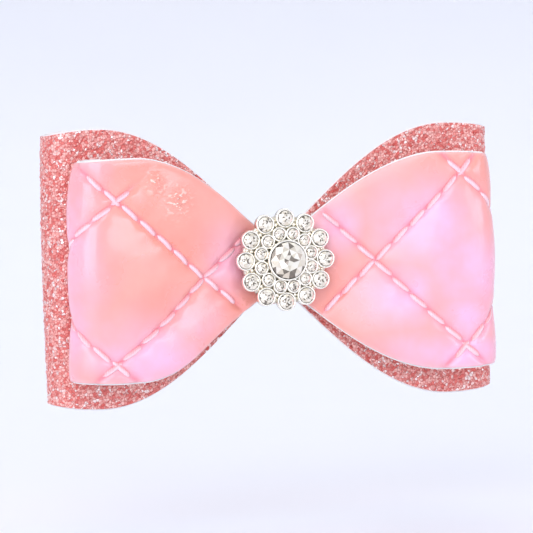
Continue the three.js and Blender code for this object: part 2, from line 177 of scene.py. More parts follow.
class Strip:
    """One strip's plan path and height.

    u is the distance along its outer face from the middle of the front wall. peak_at is where the strip
    is tallest, and corner_drop how much lower it is at its fold. back_run is how far the back wall stays
    flat. tuck draws in the folds' upper and lower corners, left_spread moves the left loop out, and pinch
    lifts the lower left edge next to the waist.
    """

    def __init__(
        self, name, radius, peak_at, corner_drop, back_run, waist_front, waist_back,
        tuck=(0, 0), left_spread=0, pinch=0,
    ):
        low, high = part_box(f"{name}_facing")
        self.half_width = high.x
        self.half_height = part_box(f"{name}_backing")[1].z
        self.peak_at = peak_at
        self.corner_drop = corner_drop
        self.tuck = tuck
        self.left_spread = left_spread
        self.pinch = pinch
        fold = Vector((high.x - radius, low.y + radius))
        fold_back = fold.y + radius
        turn = np.linspace(-math.pi / 2, math.pi / 2, FOLD_STEPS)
        arc = np.stack([fold.x + radius * np.cos(turn), fold.y + radius * np.sin(turn)], 1)
        front = self.bezier(
            (WAIST_FLAT, waist_front),
            (FRONT_RUN, waist_front),
            (fold.x - FRONT_RUN, low.y),
            (fold.x, low.y),
        )
        back = self.bezier(
            (fold.x, fold_back),
            (fold.x - BACK_BLEND, fold_back),
            (back_run, waist_back),
            (WAIST_FLAT, waist_back),
        )
        path = np.vstack([[(0, waist_front)], front, arc[1:], back[1:], [(SEAM_GAP / 2, waist_back)]])
        steps = np.hypot(*np.diff(path, axis=0).T)
        self.path = path
        self.distance = np.concatenate([[0], np.cumsum(steps)])
        self.length = self.distance[-1]
        self.fold_end = self.distance[len(front) + len(arc) - 1]
        tangent = np.gradient(path, self.distance, axis=0)
        tangent /= np.hypot(*tangent.T)[:, None]
        self.outward = np.stack([tangent[:, 1], -tangent[:, 0]], 1)

    @staticmethod
    def bezier(a, b, c, d):
        t = np.linspace(0, 1, CURVE_STEPS)[:, None]
        a, b, c, d = (np.array(p) for p in (a, b, c, d))
        return (1 - t) ** 3 * a + 3 * (1 - t) ** 2 * t * b + 3 * (1 - t) * t**2 * c + t**3 * d

    def along(self, u, values):
        return np.interp(np.abs(u), self.distance, values)

    def reach(self, u):
        """How far from the middle plane the outer face is."""
        return self.along(u, self.path[:, 0])

    def height(self, u):
        """Half height of the strip at u."""
        reach = self.reach(u)
        share = np.clip((reach - WAIST_FLAT) / (self.peak_at - WAIST_FLAT), 0, 1)
        rising = waist_half_height + (self.half_height - waist_half_height) * np.sin(share * math.pi / 2)
        past = np.clip((reach - self.peak_at) / (self.half_width - self.peak_at), 0, 1)
        behind = smooth_step(self.fold_end, self.fold_end + BACK_TAPER, np.abs(u))
        narrower = BACK_NARROWER * behind * smooth_step(WAIST_FLAT, 3 * WAIST_FLAT, reach)
        return rising - self.corner_drop * past**2 - narrower

    def place(self, u, z, out):
        """Points at u along and z up, out from the outer face. The folds' corners are drawn in by tuck."""
        side = np.sign(u) + (u == 0)
        lower_left = np.clip(-z / self.half_height, 0, 1) * (side < 0)
        z = z + self.pinch * lower_left * np.exp(-(((np.abs(u) - PINCH_AT) / PINCH_REACH) ** 2))
        reach = self.reach(u) + self.along(u, self.outward[:, 0]) * out
        depth = self.along(u, self.path[:, 1]) + self.along(u, self.outward[:, 1]) * out
        level = z / self.half_height
        upper, lower = np.clip(level, 0, 1) ** TUCK_POWER, np.clip(-level, 0, 1) ** TUCK_POWER
        drawn = self.tuck[0] * upper + self.tuck[1] * lower
        drawn = drawn - np.where(side < 0, self.left_spread, 0)
        reach = reach - drawn * smooth_step(TUCK_FROM * self.half_width, self.half_width, reach)
        return np.stack([side * reach, depth, z + 0 * u], -1)

    def stations(self, fine, coarse, fine_to):
        """Distances along the whole strip, closer together on the front and the folds than on the back."""
        front = np.arange(0, fine_to, fine)
        back = np.linspace(fine_to, self.length, max(2, int((self.length - fine_to) / coarse)))
        right = np.concatenate([front, back])
        return np.concatenate([-right[:0:-1], right])

    def grid(self, stations, rows, trim):
        """u and z over the strip's whole face, less a trim at its cut edges."""
        level = np.linspace(-1, 1, rows)
        u = np.repeat(stations[:, None], rows, 1)
        z = level[None, :] * (self.height(stations) - trim)[:, None]
        return u, z

    def flat_area(self):
        """Area that the strip was cut to, waist included."""
        u = np.linspace(0, self.length, 400)
        return float(2 * np.trapz(2 * self.height(u), u))


GLITTER = Strip(
    "glitter",
    radius=5.2 * MM,
    peak_at=38.5 * MM,
    corner_drop=1.2 * MM,
    back_run=30 * MM,
    waist_front=glitter_front_wall,
    waist_back=stack_back,
)
QUILTED = Strip(
    "quilted",
    radius=4.9 * MM,
    peak_at=33.5 * MM,
    corner_drop=0.5 * MM,
    back_run=20 * MM,
    waist_front=stack_front,
    waist_back=quilted_back_wall,
    tuck=(1.3 * MM, -0.5 * MM),
    left_spread=0.8 * MM,
    pinch=2.6 * MM,
)


def free_of_waist(strip, u):
    """0 where the band holds the strip flat, 1 away from it."""
    to_end = strip.length - np.abs(u)
    return smooth_step(WAIST_FLAT, FREE_FROM, strip.reach(u)) * smooth_step(0, END_EASE, to_end + WAIST_FLAT)


# ---------------- material helpers
class Maker:
    """Builds one procedural material around a Principled shader."""

    def __init__(self, name, **values):
        self.material = bpy.data.materials.new(name)
        self.material.use_nodes = True
        self.tree = self.material.node_tree
        self.tree.nodes.clear()
        output = self.tree.nodes.new("ShaderNodeOutputMaterial")
        self.shader = self.tree.nodes.new("ShaderNodeBsdfPrincipled")
        self.tree.links.new(self.shader.outputs[0], output.inputs["Surface"])
        for socket, value in values.items():
            self.set(self.shader, socket.replace("_", " "), value)
        self.place = self.node("ShaderNodeTexCoord").outputs["Object"]

    def set(self, node, socket, value):
        target = node.inputs[socket]
        if isinstance(value, bpy.types.NodeSocket):
            self.tree.links.new(value, target)
        else:
            target.default_value = value

    def node(self, kind, sockets=None, **settings):
        node = self.tree.nodes.new(kind)
        for name, value in settings.items():
            setattr(node, name, value)
        for socket, value in (sockets or {}).items():
            self.set(node, socket, value)
        return node

    def noise(self, scale, detail=3.0, roughness=0.5, vector=None):
        sockets = {"Vector": vector or self.place, "Scale": scale, "Detail": detail, "Roughness": roughness}
        return self.node("ShaderNodeTexNoise", sockets).outputs["Fac"]

    def stretched(self, x, y, z):
        sockets = {0: self.place, 1: (x, y, z)}
        return self.node("ShaderNodeVectorMath", sockets, operation="MULTIPLY").outputs[0]

    def cells(self, scale, output="Color", feature="F1"):
        sockets = {"Vector": self.place, "Scale": scale}
        return self.node("ShaderNodeTexVoronoi", sockets, feature=feature).outputs[output]

    def spread(self, value, low, high, to_low=0.0, to_high=1.0):
        sockets = {"Value": value, "From Min": low, "From Max": high, "To Min": to_low, "To Max": to_high}
        return self.node("ShaderNodeMapRange", sockets).outputs["Result"]

    def math(self, operation, a, b=0.0):
        return self.node("ShaderNodeMath", {0: a, 1: b}, operation=operation).outputs[0]

    def channel(self, colour, which):
        return self.node("ShaderNodeSeparateColor", {"Color": colour}).outputs[which]

    def blend(self, share, a, b):
        factor, first, second, result = 0, 6, 7, 2  # the colour sockets of a Mix node
        node = self.node("ShaderNodeMix", {factor: share, first: a, second: b}, data_type="RGBA")
        return node.outputs[result]

    def attribute(self, name):
        return self.node("ShaderNodeAttribute", attribute_name=name).outputs["Fac"]

    def bump(self, height, strength, distance, normal=None):
        sockets = {"Height": height, "Strength": strength, "Distance": distance}
        if normal is not None:
            sockets["Normal"] = normal
        return self.node("ShaderNodeBump", sockets).outputs["Normal"]

    def use(self, **links):
        for socket, value in links.items():
            self.set(self.shader, socket.replace("_", " "), value)
        return self.material


def colour(red, green, blue):
    return (red, green, blue, 1.0)


# ---------------- materials
def patent_material():
    """Pearly salmon film: painted lavender reflections in patches, painted shade deeper in the furrows,
    painted glints on the crinkles, and a painted highlight pale along the cuts.
    """
    m = Maker(
        "quilted_patent",
        IOR=1.85,
        Specular_Tint=colour(0.95, 0.75, 1.0),
        Coat_Weight=0.5,
        Coat_Roughness=0.09,
        Sheen_Weight=0.12,
        Sheen_Roughness=0.4,
        Sheen_Tint=colour(0.95, 0.85, 1.0),
    )
    mottle = m.noise(120, 3)
    salmon = m.blend(m.spread(mottle, 0.35, 0.7), colour(0.96, 0.335, 0.235), colour(0.965, 0.39, 0.285))
    # painted reflection: lavender patches painted onto the film where lights would be mirrored
    drift = m.spread(m.noise(85, 3, 0.6), 0.3, 0.7, 0.4, 1.0)
    reflection_paint = m.math("MULTIPLY", m.attribute("painted_reflection"), drift)
    base = m.blend(reflection_paint, salmon, colour(0.97, 0.53, 0.77))
    # painted shade: the film is coloured deeper pink down in the furrows
    furrow = m.attribute("furrow")
    base = m.blend(m.math("MULTIPLY", m.math("POWER", furrow, 2.0), 0.8), base, colour(0.90, 0.19, 0.24))
    crinkle = m.attribute("crinkle")
    creases = m.noise(800, 2, 0.5, m.stretched(1, 1, 1.8))
    # painted glints: pale yellowish specks painted on the crinkles' creases
    painted_glint = m.math("MULTIPLY", crinkle, m.spread(creases, 0.57, 0.61))
    base = m.blend(painted_glint, base, colour(1.0, 0.88, 0.74))
    # painted highlight: the film is painted paler along its rolled cut edges, where the same mask also makes
    # it rougher, as rubbed
    edge = m.attribute("edge")
    rim_highlight_and_wear = m.math("MULTIPLY", edge, m.spread(m.noise(900, 2), 0.3, 0.55, 0.55, 1.0))
    base = m.blend(rim_highlight_and_wear, base, colour(1.0, 0.90, 0.90))
    smears = m.spread(m.noise(75, 4, 0.6), 0.35, 0.7, 0.24, 0.38)
    rough = m.math("ADD", smears, m.math("MULTIPLY", rim_highlight_and_wear, 0.3))
    peel = m.bump(m.noise(420, 2), 0.12, 0.25 * MM)
    skin = m.bump(m.math("MULTIPLY", creases, crinkle), 1.0, 0.8 * MM, peel)
    return m.use(Base_Color=base, Roughness=rough, Normal=skin, Coat_Normal=skin)


def glitter_material():
    """Chunky coral glitter: each flake has its own tint and shine, a few with a painted sparkle, set in a
    dull coral binder.
    """
    m = Maker("glitter", Coat_Weight=0.25, Coat_Roughness=0.2)
    flakes_per_metre = 1750
    flake = m.cells(flakes_per_metre)
    tint = m.channel(flake, "Red")
    shine = m.channel(flake, "Green")
    dull = m.blend(m.spread(tint, 0.1, 0.9), colour(0.74, 0.135, 0.115), colour(1.0, 0.60, 0.54))
    # painted sparkle: a few flakes painted near white, as if each caught a light
    painted_sparkle = m.spread(shine, 0.84, 0.9)
    base = m.blend(painted_sparkle, dull, colour(1.0, 0.86, 0.82))
    patchy = m.spread(m.noise(160, 3), 0.3, 0.7)
    base = m.blend(m.math("MULTIPLY", patchy, 0.2), base, colour(0.96, 0.36, 0.30))
    border = m.spread(m.cells(flakes_per_metre, "Distance", "DISTANCE_TO_EDGE"), 0.0, 0.10)
    base = m.blend(border, colour(0.62, 0.10, 0.09), base)
    metal = m.spread(shine, 0.3, 0.95, 0.05, 0.7)
    rough = m.spread(m.channel(flake, "Blue"), 0.0, 1.0, 0.22, 0.55)
    normal = m.bump(border, 0.6, 0.15 * MM)
    return m.use(Base_Color=base, Metallic=metal, Roughness=rough, Normal=normal)


def backing_material():
    """White knitted backing cloth with a slight nap."""
    m = Maker("white_backing", Sheen_Weight=0.35, Sheen_Roughness=0.5)
    rows = {"Vector": m.stretched(1, 1, 0.6), "Scale": 420.0, "Distortion": 2.5, "Detail": 2.0}
    knit = m.node("ShaderNodeTexWave", rows).outputs["Fac"]
    fibre = m.noise(2600, 4, 0.7)
    base = m.blend(m.spread(fibre, 0.3, 0.7), colour(0.90, 0.885, 0.87), colour(0.98, 0.975, 0.965))
    base = m.blend(m.math("MULTIPLY", m.noise(90, 3), 0.12), base, colour(0.92, 0.82, 0.80))
    rough = m.spread(fibre, 0.3, 0.7, 0.75, 0.95)
    height = m.math("ADD", m.math("MULTIPLY", knit, 0.6), fibre)
    return m.use(Base_Color=base, Roughness=rough, Normal=m.bump(height, 0.5, 0.15 * MM))


def thread_material():
    """Glossy pink bars of twisted thread, with a painted highlight along one flank and painted shade along
    the other.
    """
    m = Maker("thread", IOR=1.7, Coat_Weight=0.6, Coat_Roughness=0.12, Sheen_Weight=0.15)
    strands = {"Vector": m.stretched(1, 0.4, 1.3), "Scale": 700.0, "Distortion": 1.0}
    twist = m.node("ShaderNodeTexWave", strands).outputs["Fac"]
    base = m.blend(m.spread(twist, 0.1, 0.7), colour(0.94, 0.34, 0.37), colour(0.98, 0.43, 0.46))
    painted_bar_light = m.attribute("painted_bar_light")
    # painted shade on one flank of each bar and a painted highlight on the other
    base = m.blend(m.spread(painted_bar_light, 0.0, 0.35, 0.7, 0.0), base, colour(0.90, 0.17, 0.25))
    base = m.blend(m.spread(painted_bar_light, 0.6, 1.0, 0.0, 0.85), base, colour(1.0, 0.80, 0.88))
    rough = m.spread(m.noise(1800, 3), 0.3, 0.7, 0.2, 0.42)
    return m.use(Base_Color=base, Roughness=rough, Normal=m.bump(twist, 0.3, 0.08 * MM))


def setting_material():
    """Bright plate on a casting, with painted shade darkening it down in the seats and between the cups,
    which are also duller.
    """
    m = Maker("setting", Metallic=1.0)
    grain = m.noise(1500, 3)
    shade = m.attribute("shade")
    # painted shade: the shade attribute darkens the seats and the gaps between the cups, and dulls them
    painted_seat_shade = m.math("MULTIPLY", shade, m.spread(m.noise(700, 3), 0.3, 0.6, 0.65, 1.0))
    base = m.blend(grain, colour(0.96, 0.92, 0.79), colour(1.0, 0.98, 0.89))
    base = m.blend(painted_seat_shade, base, colour(0.40, 0.365, 0.28))
    rough = m.math("ADD", m.spread(grain, 0.3, 0.7, 0.12, 0.26), m.math("MULTIPLY", painted_seat_shade, 0.3))
    return m.use(Base_Color=base, Roughness=rough, Normal=m.bump(grain, 0.15, 0.08 * MM))


def stone_material():
    """Clear foil-backed stone: each facet is painted with a light or a dark reflection of the foil behind it.
    """
    m = Maker("stone", Metallic=0.5, Coat_Weight=0.8, Coat_Roughness=0.02)
    facet = m.attribute("facet")
    dark = m.blend(m.noise(900, 2), colour(0.10, 0.085, 0.06), colour(0.23, 0.20, 0.145))
    # painted reflections: the facet value sets how dark or light each facet's painted reflection is
    base = m.blend(m.spread(facet, 0.24, 0.27), dark, colour(0.99, 0.95, 0.79))
    lit_facet_paint = m.blend(m.spread(facet, 0.62, 0.95), colour(0.76, 0.70, 0.55), colour(1.0, 0.975, 0.86))
    base = m.blend(m.spread(facet, 0.5, 0.53), base, lit_facet_paint)
    base = m.blend(m.math("MULTIPLY", m.noise(500, 2), 0.1), base, colour(0.85, 0.72, 0.70))
    scuffs = m.spread(m.noise(2400, 3), 0.4, 0.75, 0.03, 0.13)
    return m.use(Base_Color=base, Roughness=scuffs, Normal=m.bump(m.noise(1400, 2), 0.04, 0.05 * MM))


def steel_material(name, tint, dull):
    """Nickel-plated sheet, drawn lengthwise, with rubbed and faintly stained patches."""
    m = Maker(name, Metallic=1.0, Anisotropic=0.4)
    drawn = m.noise(60, 5, 0.6, m.stretched(1, 22, 22))
    bright = colour(0.72 * tint, 0.72 * tint, 0.73 * tint)
    dark = colour(0.46 * tint, 0.46 * tint, 0.48 * tint)
    stain = m.spread(m.noise(140, 4, 0.6), 0.5, 0.75)
    base = m.blend(drawn, bright, dark)
    base = m.blend(m.math("MULTIPLY", stain, 0.35), base, colour(0.45, 0.42, 0.38))
    rough = m.math("ADD", m.spread(drawn, 0.3, 0.7, dull, dull + 0.15), m.math("MULTIPLY", stain, 0.1))
    return m.use(Base_Color=base, Roughness=rough, Normal=m.bump(drawn, 0.12, 0.1 * MM))


def glue_material():
    """Set hot-melt glue, cloudy cream."""
    m = Maker("glue", Coat_Weight=0.4, Coat_Roughness=0.2, Subsurface_Weight=0.3, Subsurface_Scale=0.002)
    cloud = m.noise(500, 3)
    base = m.blend(cloud, colour(0.72, 0.66, 0.52), colour(0.88, 0.85, 0.76))
    rough = m.spread(cloud, 0.3, 0.7, 0.25, 0.45)
    return m.use(Base_Color=base, Roughness=rough, Normal=m.bump(m.noise(350, 3), 0.4, 0.3 * MM))


patent = patent_material()
glitter = glitter_material()
white_cloth = backing_material()
thread = thread_material()
silver = setting_material()
stone = stone_material()
steel = steel_material("clip_steel", 1.0, 0.2)
spring_steel = steel_material("spring_steel", 0.8, 0.28)
glue = glue_material()


# ---------------- quilting
class Lattice:
    """One loop's diagonal seams: where their first crossing is, and how far apart the crossings are."""

    def __init__(self, first, level, column, row):
        self.first, self.level, self.column, self.row = first, level, column, row
        self.diagonal = math.hypot(column, row)
        self.unit = column * row / self.diagonal

    def coordinates(self, u, z):
        """Seams of one slope lie where the first value is odd, those of the other where the second is."""
        across = 1 + (np.abs(u) - self.first) / self.column
        up = (z - self.level) / self.row
        return across + up, across - up


LEFT_SEAMS = Lattice(first=18.2 * MM, level=-2.4 * MM, column=21.0 * MM, row=16.9 * MM)
RIGHT_SEAMS = Lattice(first=20.5 * MM, level=0.3 * MM, column=19.2 * MM, row=18.5 * MM)
PILLOW = 1.15 * MM  # how far a diamond's middle stands out
PILLOW_POWER = 2.4  # how soon it rises away from its seams
SEAM_SHARE = 0.25  # how much of the pillow is left at a seam
FURROW_DEPTH = 0.6 * MM
FURROW_WIDTH = 0.8 * MM
PUCKER = 0.16  # share of the pillow that each stitch pulls in beside it
PUCKER_NEAR, PUCKER_FAR = 0.6 * MM, 1.6 * MM
SWAY = 0.22 * MM  # slow unevenness of the whole face
ROLL = 0.45 * MM  # how far the cut edges roll back
ROLL_WIDTH = 0.9 * MM
QUILT_FADE = 4 * MM  # the length over which the quilting ends, before the fold's back edge
WAIST_SINK = 0.1 * MM  # how far the film is pressed in under the band
PRESSED_SPOT = (-31, 20.5, 6.5, 5)  # mm: u, z, half length, half height
STITCH_PITCH = 5.1 * MM
STITCH_HALF_WIDTH = 0.6 * MM
STITCH_HALF_HEIGHT = 0.38 * MM


def gap_from(u, z, centre_u, centre_z, half_u, half_z):
    """Squared distance from a spot on the strip, in units of the spot's own half sizes."""
    return ((u / MM - centre_u) / half_u) ** 2 + ((z / MM - centre_z) / half_z) ** 2


def flattened(u, z):
    """Where one seam at the top of the left loop has been pressed flat, from 0 to 1."""
    return np.exp(-(gap_from(u, z, *PRESSED_SPOT) ** 2))


def seam_families(u, z):
    """For each slope of seam: distance from the nearest one, and distance along it from a crossing."""
    families = []
    for lattice in (LEFT_SEAMS, RIGHT_SEAMS):
        first, second = lattice.coordinates(u, z)
        for across, along in ((first, second), (second, first)):
            from_odd = np.abs(across - 1 - 2 * np.round((across - 1) / 2))
            families.append((from_odd * lattice.unit, (along - 1) * lattice.diagonal / 2, lattice.unit))
    left = np.asarray(u) < 0
    return [tuple(np.where(left, l, r) for l, r in zip(families[i], families[i + 2])) for i in (0, 1)]


def quilt_relief(u, z):
    """How far the quilted face stands out, and how deep in a furrow each point is, from 0 to 1."""
    swell = 1.0
    furrow = 0.0
    for distance, along, unit in seam_families(u, z):
        rise = 1 - (1 - np.clip(distance / unit, 0, 1)) ** PILLOW_POWER
        pull = np.cos(2 * math.pi * along / STITCH_PITCH)
        near = np.exp(-distance / PUCKER_FAR) * (1 - np.exp(-distance / PUCKER_NEAR))
        swell = swell * (SEAM_SHARE + (1 - SEAM_SHARE) * rise) - PUCKER * near * pull
        furrow = np.maximum(furrow, np.exp(-((distance / FURROW_WIDTH) ** 2)) * (0.85 + 0.15 * pull))
    wave = SWAY * np.sin(u / (8.5 * MM) + 1.3) * np.sin(z / (9.5 * MM) + 0.7)
    furrow = furrow * (1 - flattened(u, z))
    return swell * PILLOW - furrow * FURROW_DEPTH + wave, furrow


def quilted_outer(u, z):
    """Outward offset of the quilted face from the strip's own path, and its furrow share."""
    relief, furrow = quilt_relief(u, z)
    behind = smooth_step(QUILTED.fold_end - QUILT_FADE, QUILTED.fold_end, np.abs(u))
    free = free_of_waist(QUILTED, u) * (1 - behind)
    to_edge = QUILTED.height(u) - np.abs(z)
    rolled = ROLL * np.exp(-to_edge / ROLL_WIDTH)
    return free * (relief - rolled) - WAIST_SINK * (1 - free), furrow * free


# Patches of painted reflection on the film: u, z, half length, half height in mm, and how strong each is.
PAINTED_REFLECTIONS = (
    (-49, 0, 6, 30, 0.8),
    (-40, -17, 8, 7, 0.7),
    (-30, -19, 9, 6.5, 1.0),
    (-21, -12, 6, 5, 0.7),
    (-12, 1, 5, 6, 0.9),
    (-46, 20, 4, 5, 0.7),
    (32, 8, 10, 8, 1.0),
    (27, -7, 9, 6, 0.9),
    (41, -3, 9, 9, 1.0),
    (37, -20, 14, 4.5, 1.0),
    (40, -12, 7, 5.5, 1.0),
    (13, 8, 5, 5, 0.8),
    (50, -5, 5, 16, 0.7),
)
# Where the film is finely crinkled, with painted glints on the creases: u, z and size in mm.
CRINKLES = ((-30.5, 18.0, 1.7), (-25.5, 14.2, 2.3))
EDGE_WHITE = 0.3 * MM  # how far the painted highlight along the rolled cut edge reaches onto the film's face
QUILTED_THINNER = 0.75 * MM  # how much thinner the foam is than the CAD's, away from the waist
FOAM_FOLLOWS = 0.2  # share of the quilting that shows inside the loops
PATCH_FALL = 0.7  # how fast a patch fades


def patches(u, z, rows):
    """Soft-edged patches on the strip, each given as u, z, half length, half height and strength."""
    total = np.zeros_like(u)
    for *spot, strength in rows:
        total = np.maximum(total, strength * np.exp(-PATCH_FALL * gap_from(u, z, *spot)))
    return total


def declare_folded(strip):
    """Works out the area that the strip was cut to and keeps nothing of it; the strip's cut size is its
    tallest part by twice the way from the front's middle round to its end.
    """
    strip.flat_area()


def build_quilted_film():
    """The pearly outer ply, pillowed between its seams."""
    stations = QUILTED.stations(fine=0.4 * MM, coarse=1.0 * MM, fine_to=62 * MM)
    u, z = QUILTED.grid(stations, rows=112, trim=BACKING_REVEAL)
    outer, furrow = quilted_outer(u, z)
    points = shell_points(QUILTED.place(u, z, outer), QUILTED.place(u, z, outer - QUILTED_FACING))
    film = new_piece("quilted_film", points, shell_faces(*u.shape), patent)
    to_edge = QUILTED.height(u) - np.abs(z)
    edge = np.exp(-to_edge / EDGE_WHITE)
    crinkle = patches(u, z, [(at_u, at_z, size, size, 1.0) for at_u, at_z, size in CRINKLES])
    fields = {"furrow": furrow, "edge": edge, "crinkle": crinkle, "painted_reflection": patches(u, z, PAINTED_REFLECTIONS)}
    for name, values in fields.items():
        add_point_values(film, name, np.concatenate([values.ravel()] * 2))
    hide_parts("quilted_facing")
    declare_folded(QUILTED)


def build_quilted_lining():
    """Foam and cloth behind the film: it follows the quilting on one side and is nearly even on the other."""
    stations = QUILTED.stations(fine=0.7 * MM, coarse=1.2 * MM, fine_to=64 * MM)
    u, z = QUILTED.grid(stations, rows=64, trim=0)
    free = free_of_waist(QUILTED, u)
    relief, _ = quilt_relief(u, z)
    under = quilted_outer(u, z)[0] - QUILTED_FACING - PLY_GAP
    inside = -QUILTED_WALL + free * (QUILTED_THINNER - FOAM_FOLLOWS * (PILLOW - relief))
    points = shell_points(QUILTED.place(u, z, under), QUILTED.place(u, z, inside))
    lining = new_piece("quilted_lining", points, shell_faces(*u.shape), white_cloth)
    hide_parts("quilted_backing")
    declare_folded(QUILTED)


# ---------------- stitches
BAR_SIDES = 8
SPRING_SIDES = 12


def bar_shape(centres, outward, half_width, half_height, sides=BAR_SIDES):
    """Rings of a small closed bar along the given centre line, thin at both ends."""
    count = len(centres)
    tangent = np.gradient(centres, axis=0)
    tangent /= np.linalg.norm(tangent, axis=1)[:, None]
    across = np.cross(tangent, outward)
    across /= np.linalg.norm(across, axis=1)[:, None]
    up = np.cross(across, tangent)
    size = np.sqrt(1.02 - np.linspace(-1, 1, count) ** 6)[:, None, None]
    angle = (np.arange(sides) + 0.5) * 2 * math.pi / sides
    sideways = half_width * np.cos(angle)[None, :, None] * across[:, None, :]
    upwards = half_height * np.sin(angle)[None, :, None] * up[:, None, :]
    points = (centres[:, None, :] + (sideways + upwards) * size).reshape(-1, 3)
    faces = []
    for i in range(count - 1):
        for j in range(sides):
            a = i * sides + j
            b = i * sides + (j + 1) % sides
            faces.append((a, b, b + sides, a + sides))
    faces.append(tuple(range(sides - 1, -1, -1)))
    faces.append(tuple(range((count - 1) * sides, count * sides)))
    return points, faces


STITCH_SHARE = 0.47  # half a stitch's length, as a share of the pitch
STITCH_ASKEW = 0.2 * MM
STITCH_ARCH = 0.30 * MM
STITCH_BITE = 0.05 * MM  # how far its ends sink into the film
HIGHLIGHT_TURN = 0.9  # radians: the way round the bar to its painted highlight
SEWN_FROM, SEWN_TO = 7.5 * MM, 63 * MM
EDGE_MARGIN = 2.0 * MM
STITCH_LOST = 0.4  # a stitch pressed flatter than this doesn't show


def build_stitches(side, lattice, name, node):
    """Raised bars end to end along every seam of one loop, each slightly askew like a rope's strands."""
    bars = Gathered()
    share = np.linspace(-1, 1, 11)[:, None]
    around = (np.arange(BAR_SIDES) + 0.5) * 2 * math.pi / BAR_SIDES
    # painted light round each bar: 1 at its painted highlight, 0 at its painted shade
    painted_bar_light = np.tile(0.5 + 0.5 * np.sin(around + side * HIGHLIGHT_TURN), len(share))
    arch = STITCH_ARCH * np.cos(share[:, 0] * math.pi / 2) - STITCH_BITE
    for slope in (1, -1):
        along = np.array([side * lattice.column, slope * lattice.row]) / lattice.diagonal
        askew = np.array([-along[1], along[0]]) * STITCH_ASKEW * side
        for columns in (-2, 0, 2, 4, 6):
            crossing = np.array([side * (lattice.first + columns * lattice.column), lattice.level])
            for number in range(-10, 11):
                centre = crossing + along * (number + 0.5) * STITCH_PITCH
                if not SEWN_FROM < side * centre[0] < SEWN_TO or flattened(*centre) > STITCH_LOST:
                    continue
                if abs(centre[1]) > QUILTED.height(centre[0]) - EDGE_MARGIN:
                    continue
                u, z = (centre + share * (STITCH_SHARE * STITCH_PITCH * along + askew)).T
                base = quilted_outer(u, z)[0] + arch
                centres = QUILTED.place(u, z, base)
                outward = QUILTED.place(u, z, base + MM) - centres
                bars.add(*bar_shape(centres, outward, STITCH_HALF_WIDTH, STITCH_HALF_HEIGHT), painted_bar_light)
    piece = bars.piece(name, thread)
    add_point_values(piece, "painted_bar_light", bars.values)
    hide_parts(node)


# ---------------- glitter strip
FLAKE = 0.46 * MM
FLAKE_RELIEF = 0.075 * MM
FLAKE_SHIFT = 0.3  # share of a flake by which each one is out of line
GLITTER_SWAY = 0.3 * MM
GLITTER_THINNER = 0.35 * MM


def glitter_wave(u, z):
    """Slow unevenness of the sheet, nothing under the band."""
    wave = GLITTER_SWAY * np.sin(u / (11 * MM) + 0.4) * np.sin(z / (14 * MM) + 1.1)
    return wave * free_of_waist(GLITTER, u)


def build_glitter_sheet():
    """The glitter ply: a flat-shaded grid of about one quad to a flake, each a little out of line."""
    stations = GLITTER.stations(fine=FLAKE, coarse=1.1 * FLAKE, fine_to=66 * MM)
    rows = int(2 * GLITTER.half_height / FLAKE)
    u, z = GLITTER.grid(stations, rows, BACKING_REVEAL)
    inside = np.s_[1:-1, 1:-1]
    wave = glitter_wave(u, z)
    lumps = wave.copy()
    lumps[inside] += random.normal(0, FLAKE_RELIEF, u[inside].shape)
    shifted_u, shifted_z = u.copy(), z.copy()
    shifted_u[inside] += random.uniform(-FLAKE_SHIFT, FLAKE_SHIFT, u[inside].shape) * FLAKE
    shifted_z[inside] += random.uniform(-FLAKE_SHIFT, FLAKE_SHIFT, u[inside].shape) * FLAKE * 0.8
    outer = GLITTER.place(shifted_u, shifted_z, lumps)
    points = shell_points(outer, GLITTER.place(u, z, wave - GLITTER_FACING))
    sheet = new_piece("glitter_sheet", points, shell_faces(*u.shape), glitter, smooth=False)
    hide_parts("glitter_facing")
    declare_folded(GLITTER)


def build_glitter_lining():
    """White cloth behind the glitter ply."""
    stations = GLITTER.stations(fine=1.0 * MM, coarse=1.2 * MM, fine_to=66 * MM)
    u, z = GLITTER.grid(stations, rows=48, trim=0)
    wave = glitter_wave(u, z)
    under = wave - GLITTER_FACING - PLY_GAP
    inside = wave - GLITTER_WALL + GLITTER_THINNER * free_of_waist(GLITTER, u)
    points = shell_points(GLITTER.place(u, z, under), GLITTER.place(u, z, inside))
    lining = new_piece("glitter_lining", points, shell_faces(*u.shape), white_cloth)
    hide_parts("glitter_backing")
    declare_folded(GLITTER)


# ---------------- centre band
BAND_ROWS, BAND_TURNS = 17, 120
BAND_CORNER = 0.16  # power that rounds the ring's corners: 1 is an ellipse, 0 a sharp rectangle
BAND_CROWN = 0.12 * MM
BAND_CREASE = 0.03 * MM


